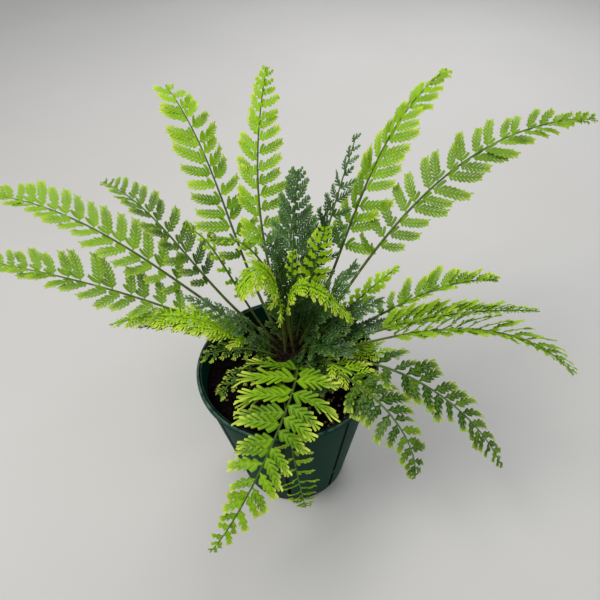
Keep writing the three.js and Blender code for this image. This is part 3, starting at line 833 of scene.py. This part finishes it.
def rolled_tip(rib, radius):
    """The frames along a tip that is rolled up and inward like a watch spring."""
    tip, along, up, left = rib.frame_at(1)
    frames = []
    for i in range(1, COIL_STEPS + 1):
        turned = tau * COIL_TURNS * i / COIL_STEPS
        reach = radius * (1 - COIL_TIGHTENS * i / COIL_STEPS)
        outward = along * sin(turned) - up * cos(turned)
        forward = along * cos(turned) + up * sin(turned)
        frames.append((tip + up * radius + outward * reach, forward, -outward, left))
    return frames if radius else []


def draw_out_rib(rib, name, thick, thin, roll):
    """The stalk and rib as one round tapered rod along the curve and around the rolled tip."""
    rod = fresh(bpy.ops.curve.primitive_bezier_curve_add)
    rod.name = name
    foot, tip = rod.data.splines[0].bezier_points
    for point in (foot, tip):
        point.handle_left_type = point.handle_right_type = "FREE"
    into_crown = (rib.low - rib.root).normalized() * STALK_FOOT_SUNK
    foot.co = foot.handle_left = rib.root - into_crown
    foot.handle_right = rib.low
    tip.handle_left = rib.high
    tip.co = tip.handle_right = rib.tip
    foot.radius, tip.radius = 1, thin / thick
    if roll:
        step = (roll[0][0] - rib.tip).length
        tip.handle_right = rib.tip + (rib.tip - rib.high).normalized() * step / 3
        for point, chosen in ((foot, False), (tip, True)):
            point.select_control_point = chosen
            point.select_left_handle = point.select_right_handle = chosen
        edit()
        before = rib.tip
        for point, _, _, _ in roll:
            bpy.ops.curve.extrude_move(TRANSFORM_OT_translate={"value": point - before})
            before = point
        end_edit()
        for i, point in enumerate(rod.data.splines[0].bezier_points[2:]):
            point.handle_left_type = point.handle_right_type = "AUTO"
            point.radius = thin / thick * (1 - 0.5 * i / len(roll))
    rod.data.dimensions = "3D"
    rod.data.resolution_u = RIB_STEPS
    rod.data.bevel_depth = thick
    rod.data.bevel_resolution = RIB_SIDES
    rod.data.use_fill_caps = True
    bpy.ops.object.convert(target="MESH")
    smooth_under(60)
    return rod


def points_of(piece):
    points = np.zeros(len(piece.data.vertices) * 3)
    piece.data.vertices.foreach_get("co", points)
    return points.reshape(-1, 3)


WALL_CLEAR = 0.0006
RIM_CLEAR = 0.0008
SOIL_CLEAR = 0.0015


def clears_pot(points):
    """True where no point is in the pot's wall, in the soil or under the floor."""
    reach = np.hypot(points[:, 0], points[:, 1])
    height = points[:, 2]
    body = outer_radius_at(height)
    outer = np.where(height > LIP_BOTTOM, RIM_RADIUS, body) + WALL_CLEAR
    inner = body - WALL - WALL_CLEAR
    in_wall = (height < POT_HEIGHT + RIM_CLEAR) & (reach < outer) & (reach > inner)
    in_soil = (height < SOIL_HEIGHT + SOIL_CLEAR) & (reach <= inner)
    return not (in_wall | in_soil | (height < SOIL_CLEAR)).any()


HOOK = 0.13
VEE = 8
VEE_FLATTENS = 22
RIPPLE = 0.0005
RIPPLE_BREADTH = 0.004
RIPPLES = 9


def lay_leaflet(flat, size, seat, side, lean, fold, lift, twist, droop, vee, phase):
    """The flat leaflet's points, bent and set on the rib."""
    point, along, up, left = seat
    sideways = left * side * cos(fold) + up * sin(fold)
    way = (along * cos(lean) + sideways * sin(lean) + up * tan(lift)).normalized()
    across = (along - way * along.dot(way)).normalized()
    normal = way.cross(across)
    upward = 1 if normal.dot(up) > 0 else -1
    across = across * cos(twist) + normal * upward * sin(twist)
    normal = way.cross(across)
    x, y, z = flat[:, 0] * size, flat[:, 1] * size, flat[:, 2]
    reach = x.max()
    far = x / reach
    y = y + HOOK * reach * far * far
    turned = droop * far
    radius = reach / droop
    dish = vee * np.abs(y) - VEE_FLATTENS * vee * y * y
    dish = dish + RIPPLE * np.sin(far * RIPPLES + phase) * np.abs(y) / RIPPLE_BREADTH
    z = z + upward * dish
    out = radius * np.sin(turned) + upward * z * np.sin(turned)
    rise = z * np.cos(turned) - upward * radius * (1 - np.cos(turned))
    return np.array(point) + np.outer(out, way) + np.outer(y, across) + np.outer(rise, normal)


def between(value, share):
    """A value that holds all along, or goes from its first to its second."""
    first, last = value if isinstance(value, tuple) else (value, value)
    return first + (last - first) * share


# A leaflet that would touch the pot is bent up or down, then made smaller, until it clears it
FOLDS = (0, 12, -12, 24, -24, 38, -38, 54, -54, 70, 85)
SHRINKS = (1, 0.75, 0.5)
ROLLED_LEAFLET, ROLLED_LEAFLET_LESS, ROLLED_LIFT = 0.0042, 0.0026, 40
LAST_LEAFLET_AT = 0.985
WIDENS, WIDEST = 1.8, 1.12
# How far a leaflet may stray from its neighbours: in degrees, then in place, length and shade
LEAN_STRAYS, FOLD_STRAYS, TWIST_STRAYS, TROUGH_STRAYS = 7, (-8, 6), 12, 6
PLACE_STRAYS, LENGTH_STRAYS, SHADE_STRAYS = 0.3, 0.12, 0.16
TIP_PALES = 0.34


def build_frond(name, finish, slot, tip, root, rise, fall, sway=0, handles=(0.4, 0.36), bare=0.36,
                leaflet=0.02, pairs=8, form="cut", lean=(76, 38), other=None, halves=1, taper=0.5,
                first=0.6, least=0.13, crowd=1.3, swing=0.8, spoons=2, fold=-6, roll=0, louvre=0,
                droop=20, rolled=0, thick=None, skin=(0.3, 0.05), tone=0.5, mess=1):
    """One frond: its rib, two rows of leaflets, the scales at its foot, joined to one piece."""
    rib = Rib(tip, root, rise, fall, sway, handles)
    thick = thick or (RIB_THICK if leaflet > 0.02 else RIB_THIN)
    spring = rolled_tip(rib, rolled)
    rib_tip = ROLLED_RIB_TIP if rolled else RIB_TIP
    rod = draw_out_rib(rib, name + "_rib", thick, rib_tip, spring)
    rod.data.materials.append(stalk_skin)
    nearest = ((points_of(rod)[:, None] - rib.path[None]) ** 2).sum(2).argmin(1)
    paint(rod, "shade", tone)
    for layer in ("tip", "vein"):
        paint(rod, layer, 0)
    paint(rod, "skin", between(skin, rib.reached[nearest] / rib.length))
    deselect_all()
    places = []
    for i in range(2 * pairs):
        along = (i + 0.35 + PLACE_STRAYS * mess * frond_draw.uniform(-1, 1)) / (2 * pairs)
        along = min(max(along, 0), 0.99)
        share = bare + (1 - bare) * (1 - (1 - along) ** crowd) * LAST_LEAFLET_AT
        size = min(first + along * WIDENS, 1) * (1 - along) ** taper * WIDEST + least
        point, forward, up, left = rib.frame_at(share)
        turn = radians(between(roll, along))
        up, left = (up * cos(turn) - left * sin(turn),
                    left * cos(turn) + up * sin(turn))
        length = leaflet * min(size, 1) * frond_draw.uniform(1 - LENGTH_STRAYS * mess, 1.07)
        length *= between(halves[i % 2] if isinstance(halves, tuple) else halves, along)
        places.append(((point, forward, up, left), along, length))
    for i, seat in enumerate(spring):
        places.append((seat, 0.9, ROLLED_LEAFLET - ROLLED_LEAFLET_LESS * i / len(spring)))
    for i, (seat, along, length) in enumerate(places):
        side = 1 if i % 2 == 0 else -1
        on_spring = i >= 2 * pairs
        kind = "spoon" if along > spoons or on_spring else form
        shape = min(FORMS[kind], key=lambda f: abs(f["length"] - length))
        outward = between(lean if side > 0 else other or lean, along ** swing)
        outward = radians(outward + mess * frond_draw.uniform(-LEAN_STRAYS, LEAN_STRAYS))
        bent = radians(between(fold, along) + mess * frond_draw.uniform(*FOLD_STRAYS))
        twist = 0 if side < 0 and other else between(louvre, along)
        twist = radians(twist + mess * frond_draw.uniform(-TWIST_STRAYS, TWIST_STRAYS))
        hang = radians(droop * frond_draw.uniform(0.6, 1.4) + 0.5)
        trough = radians(VEE + frond_draw.uniform(-TROUGH_STRAYS, TROUGH_STRAYS))
        phase = frond_draw.uniform(0, tau)
        own = tone + SHADE_STRAYS * mess * frond_draw.uniform(-1, 1)
        own += TIP_PALES * (along - 0.3)
        flat = points_of(shape)
        for shrink, bend in [(s, b) for s in SHRINKS for b in FOLDS]:
            lift = radians(bend + (ROLLED_LIFT if on_spring else 0))
            placed = lay_leaflet(flat, length * shrink / shape["length"], seat, side, outward,
                                 bent, lift, twist, hang, trough, phase)
            if clears_pot(placed):
                leaf = own_copy(shape, "leaf")
                leaf.data.vertices.foreach_set("co", placed.ravel())
                paint(leaf, "shade", own)
                paint(leaf, "skin", 0)
                leaf.data.materials.append(finish)
                break
    for i in range(SCALES):
        point, along, up, left = rib.frame_at(SCALES_FROM + SCALES_SPREAD * frond_draw.random())
        turn = frond_draw.uniform(0, tau)
        out = up * cos(turn) + left * sin(turn)
        way = (along + out * frond_draw.uniform(0.25, 0.7)).normalized()
        scale = own_copy(chaff, "scale")
        basis = way.to_track_quat("Z", "Y").to_matrix().to_4x4()
        scale.data.transform(Matrix.Translation(point + out * thick * 0.7) @ basis
                             @ Matrix.Scale(frond_draw.uniform(0.6, 1.3), 4))
    join_into(rod)
    rod.name = name + "_leaf"
    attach(rod, "root")
    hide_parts(name)


# The kinds of frond: the finish of their leaflets, and below what else some of them share
BRIGHT = dict(finish=leaf_bright, slot="leaf_bright")
MID = dict(finish=leaf_mid, slot="leaf_mid")
DARK = dict(finish=leaf_dark, slot="leaf_dark")


def grow(name, kind, **own):
    """A frond with what its kind shares, and its own values over it."""
    build_frond(name, **{**kind, **own})


# A tip is its degrees round, reach and height, a root its reach and degrees round. Two values go
# from foot to tip, two halves are for left and right leaflets, and other is the lean at the right

# The long fronds at the left, back and right
grow("frond_left_low", MID, tip=(178, 0.232, 0.247), root=(0.018, 178), rise=40, fall=14,
     sway=0.003, bare=0.34, leaflet=0.03, pairs=14, lean=(74, 24), other=(78, 56),
     halves=(0.88, 1), taper=0.55, fold=(10, 30), roll=(-10, 0), tone=0.66)
grow("frond_left_high", MID, tip=(165, 0.246, 0.272), root=(0.018, 160), rise=36, fall=2,
     leaflet=0.031, pairs=16, lean=(72, 22), other=(76, 56), halves=(0.84, 1), taper=0.55,
     fold=(10, 30), roll=(-12, 0), tone=0.95)
grow("frond_left_back", MID, tip=(150, 0.178, 0.262), root=(0.018, 144), rise=34, fall=-5,
     sway=0.008, bare=0.38, leaflet=0.025, pairs=13, lean=(70, 22), other=(74, 60),
     halves=(0.9, 1), taper=0.55, fold=(10, 32), roll=(-10, 4), tone=0.35)
grow("frond_back_left", BRIGHT, tip=(125, 0.166, 0.325), root=(0.017, 124), rise=38, fall=22,
     bare=0.34, leaflet=0.03, pairs=14, lean=(78, 48), other=(90, 64), taper=0.38, crowd=1.12,
     fold=(0, -10), roll=6, tone=0.72, mess=1.4)
grow("frond_back", BRIGHT, tip=(94, 0.129, 0.34), root=(0.017, 98), rise=64, fall=46, sway=0.016,
     leaflet=0.027, pairs=15, lean=(62, 30), other=(82, 54), taper=0.66, fold=-8, tone=0.85,
     mess=1.3)
grow("frond_back_right", BRIGHT, tip=(43, 0.192, 0.33), root=(0.017, 48), rise=44, fall=14,
     sway=0.006, bare=0.32, leaflet=0.029, pairs=18, lean=(56, 22), other=(80, 36), taper=0.6,
     first=0.7, fold=(0, -10), roll=(4, -6), tone=0.68, mess=1.3)
grow("frond_right_long", MID, tip=(17, 0.262, 0.308), root=(0.018, 20), rise=50, fall=-6,
     sway=0.018, bare=0.32, leaflet=0.03, pairs=20, lean=(82, 36), other=(78, 14),
     halves=(0.88, 1), taper=0.6, fold=(6, 20), roll=(32, 16), tone=0.68, mess=1.3)

# The middle-sized fronds at the right and front right, and the bright one at the left
grow("frond_right_light", BRIGHT, tip=(8, 0.184, 0.185), root=(0.02, 2), rise=32, fall=-24,
     sway=-0.005, bare=0.38, leaflet=0.022, pairs=17, lean=(70, 24), other=(40, 14),
     halves=(1, 0.65), least=0.1, fold=(34, 44), roll=8, louvre=(0, 65), tone=0.42, mess=1.4)
grow("frond_right_middle", MID, tip=(-9, 0.2, 0.203), root=(0.019, -12), rise=38, fall=-6,
     sway=-0.005, leaflet=0.026, pairs=22, lean=(46, 20), other=(40, 14), halves=(1, 0.65),
     taper=0.75, least=0.1, crowd=1.1, fold=(36, 46), louvre=(30, 76), thick=0.0012, tone=0.9)
# The arching right frond's tone is raised: painted light, so its edge-on blades, which lie in
# shade, read pale
grow("frond_right_arching", MID, tip=(-24, 0.224, 0.198), root=(0.019, -32), rise=36, fall=-44,
     sway=0.005, leaflet=0.031, pairs=18, lean=(38, 26), other=(40, 16), halves=(1, 0.8),
     taper=0.55, least=0.08, crowd=1.1, fold=(32, 42), louvre=(54, 72), thick=0.0012, tone=1,
     mess=0.9)
# The low front-right fronds get a dark tone: painted shade, for the shadow they lie in under the
# fern
LOW_IN_PAINTED_SHADE = dict(MID, form="spoon", taper=0.8, least=0.08, tone=0.12, mess=1.5)
grow("frond_front_right_low", LOW_IN_PAINTED_SHADE, tip=(-34, 0.199, 0.108), root=(0.019, -50), rise=38, fall=-54,
     sway=0.01, bare=0.34, leaflet=0.029, pairs=14, lean=(76, 48), other=(66, 54), halves=(1, 0.9),
     first=1, fold=6)
grow("frond_front_right", LOW_IN_PAINTED_SHADE, tip=(-55, 0.157, 0.128), root=(0.019, -68), rise=44, fall=-80,
     sway=0.009, bare=0.38, leaflet=0.028, pairs=12, lean=(88, 62), other=(80, 56),
     halves=(1, 0.95), first=0.9)
grow("frond_left_bright", BRIGHT, tip=(188, 0.146, 0.199), root=(0.018, 198), rise=48, fall=-4,
     sway=-0.008, bare=0.2, leaflet=0.028, pairs=22, form="lacy", lean=(62, 24), taper=0.7,
     least=0.06, crowd=1.12, fold=(10, 16), droop=45, skin=(0.8, 1.0), tone=1.25, mess=1.3)

# The big young frond that hangs over the front of the pot, and the thin one beside it
grow("frond_front_large", BRIGHT, tip=(-112, 0.178, 0.099), root=(0.017, -86), rise=68, fall=-68,
     sway=0.024, bare=0.15, leaflet=0.046, pairs=17, form="fingered", lean=(130, 28),
     other=(108, 42), halves=((0.82, 1.1), 1), taper=1.15, first=1, least=0.1, crowd=1.12,
     swing=0.5, spoons=0.5, fold=6, roll=(0, -10), droop=30, skin=(0.55, 0.8), tone=0.28, mess=1.5)
grow("frond_front_hanging", BRIGHT, tip=(-87, 0.116, 0.066), root=(0.02, -104), rise=58, fall=-96,
     sway=-0.008, handles=(0.55, 0.9), bare=0.52, leaflet=0.018, pairs=10, louvre=(-34, -44),
     skin=(0.5, 0.9), tone=1)

# The young fronds with rolled tips, and the pale ones in the middle
YOUNG = dict(BRIGHT, bare=0.45, leaflet=0.008, pairs=8, form="spoon", skin=(0.3, 0.9))
grow("frond_young_left", YOUNG, tip=(149, 0.093, 0.238), root=(0.011, 162), rise=60, fall=-30,
     sway=0.011, rolled=0.0046)
grow("frond_young_back", YOUNG, tip=(143, 0.076, 0.228), root=(0.007, 130), rise=76, fall=-26,
     sway=-0.012, rolled=0.0044)
PALE = dict(BRIGHT, fall=-50, bare=0.38, pairs=26, form="lacy", taper=0.3, first=1, crowd=1.12,
            fold=(6, -14), droop=35, skin=(0.42, 1.0), mess=1.7)
grow("frond_centre_left", PALE, tip=(190, 0.042, 0.219), root=(0.006, 205), rise=90, sway=-0.008,
     handles=(0.95, 0.5), leaflet=0.022, lean=(100, 60), thick=0.0017, tone=1.2)
grow("frond_centre_right", PALE, tip=(-12, 0.054, 0.184), root=(0.004, -60), rise=98, sway=0.004,
     handles=(1.35, 0.9), leaflet=0.0135, lean=(100, 56), tone=1.05)
SPOONED = dict(BRIGHT, bare=0.42, form="spoon", skin=(0.6, 0.8))
grow("frond_light_upright", SPOONED, tip=(49, 0.05, 0.243), root=(0.01, 62), rise=76, fall=72,
     sway=0.001, leaflet=0.0138, pairs=9, lean=(84, 56), first=0.8, roll=33, droop=10, tone=1.25,
     mess=0.6)
grow("frond_light_right", SPOONED, tip=(20, 0.102, 0.198), root=(0.014, 10), rise=42, fall=20,
     sway=-0.003, leaflet=0.012, pairs=10, lean=(50, 30), roll=30, tone=1.15, mess=1.5)
SMALL = dict(BRIGHT, bare=0.26, pairs=10, form="lacy", fold=8, mess=1.8)
grow("frond_small_right", SMALL, tip=(-15, 0.094, 0.15), root=(0.015, -24), rise=32, fall=0,
     leaflet=0.018, tone=0.7)
grow("frond_small_front_right", SMALL, tip=(-44, 0.101, 0.155), root=(0.014, -53), rise=44,
     fall=-16, tone=0.8)
grow("frond_small_back", BRIGHT, tip=(75, 0.022, 0.232), root=(0.006, 80), rise=86, fall=70,
     bare=0.72, leaflet=0.0085, pairs=4, form="spoon", skin=(0.5, 0.8), tone=0.6)
INNER = dict(MID, bare=0.16, form="lacy", fold=6, tone=0.05, mess=1.8)
grow("frond_small_left", INNER, tip=(199, 0.08, 0.16), root=(0.014, 222), rise=50, fall=-20,
     leaflet=0.018)
grow("frond_small_front_left", INNER, tip=(225, 0.084, 0.152), root=(0.018, 240), rise=44,
     fall=-30, leaflet=0.017)

# The short old fronds that fill the middle, dark blue-green
grow("frond_dark_back", DARK, tip=(78, 0.062, 0.284), root=(0.013, 80), rise=76, fall=65,
     sway=0.002, bare=0.08, leaflet=0.028, pairs=17, first=0.9, crowd=1.12, mess=1.4)
OLD = dict(DARK, bare=0.08, leaflet=0.021, pairs=14, form="aged", first=1, crowd=1.12, fold=6,
           mess=1.6)
grow("frond_dark_back_right", OLD, tip=(61, 0.082, 0.247), root=(0.019, 74), rise=73, fall=54,
     sway=0.003, leaflet=0.02)
grow("frond_dark_far_right", OLD, tip=(54, 0.106, 0.3), root=(0.022, 60), rise=72, fall=56,
     fold=-6)
grow("frond_dark_left_low", OLD, tip=(182, 0.13, 0.178), root=(0.022, 188), rise=38, fall=-8,
     leaflet=0.019, halves=(0.6, 0.9), taper=0.6, first=0.6)
grow("frond_dark_left", OLD, tip=(172, 0.088, 0.196), root=(0.013, 184), rise=52, fall=14,
     sway=0.004, leaflet=0.016, first=0.6)
grow("frond_dark_back_left", OLD, tip=(110, 0.042, 0.238), root=(0.01, 96), rise=78, fall=52)
grow("frond_dark_upright", OLD, tip=(14, 0.06, 0.222), root=(0.008, 26), rise=70, fall=50)
grow("frond_dark_right", OLD, tip=(0, 0.078, 0.192), root=(0.009, -8), rise=56, fall=18, tone=0.42)
grow("frond_dark_right_low", OLD, tip=(-7, 0.088, 0.174), root=(0.023, -4), rise=56, fall=0,
     tone=0.35)
grow("frond_dark_front_right", OLD, tip=(-38, 0.062, 0.172), root=(0.01, -44), rise=60, fall=0,
     leaflet=0.022, tone=0.35)
grow("frond_dark_front", OLD, tip=(-66, 0.066, 0.152), root=(0.011, -72), rise=56, fall=-20,
     tone=0.3, mess=2)

for form in [shape for lengths in FORMS.values() for shape in lengths] + [chaff]:
    bpy.data.objects.remove(form)
